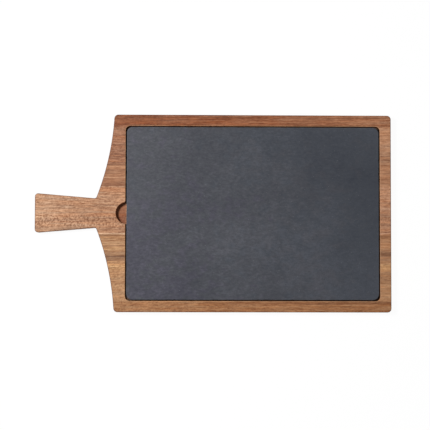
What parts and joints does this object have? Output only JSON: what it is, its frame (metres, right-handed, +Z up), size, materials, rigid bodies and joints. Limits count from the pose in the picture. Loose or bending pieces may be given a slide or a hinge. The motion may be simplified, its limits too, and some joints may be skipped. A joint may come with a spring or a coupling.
{
  "type": "slate serving board",
  "caption": "Wooden serving board with a tapered handle and a recess that holds a loose slate plate, lifted out by a finger notch.",
  "frame": {"origin": "middle of the board's footprint, on the surface that it lies on", "axes": "+X from the handle towards the far end of the body, +Y across the staves, +Z up out of the slate"},
  "size_m": [0.451, 0.25, 0.015],
  "materials": {
    "wood_red": "oiled, satin",
    "wood_brown": "oiled, satin",
    "wood_gold": "oiled, satin",
    "wood_streaked": "oiled, satin",
    "wood_honey": "oiled, satin",
    "slate": "honed, matt",
    "pad": "translucent, matt"
  },
  "bodies": {
    "board": {"far_edge_stave": "wood_red", "far_inner_stave": "wood_brown", "handle_stave": "wood_gold", "near_inner_stave": "wood_streaked", "near_edge_stave": "wood_honey"},
    "slate": {"slate_plate": "slate", "slate_pad_1": "pad", "slate_pad_2": "pad", "slate_pad_3": "pad", "slate_pad_4": "pad"}
  },
  "joints": [
    {"name": "slate_lift", "type": "slide", "parent": "board", "child": "slate", "axis": [0, 0, 1], "range_m": [0, 0.08]}
  ]
}
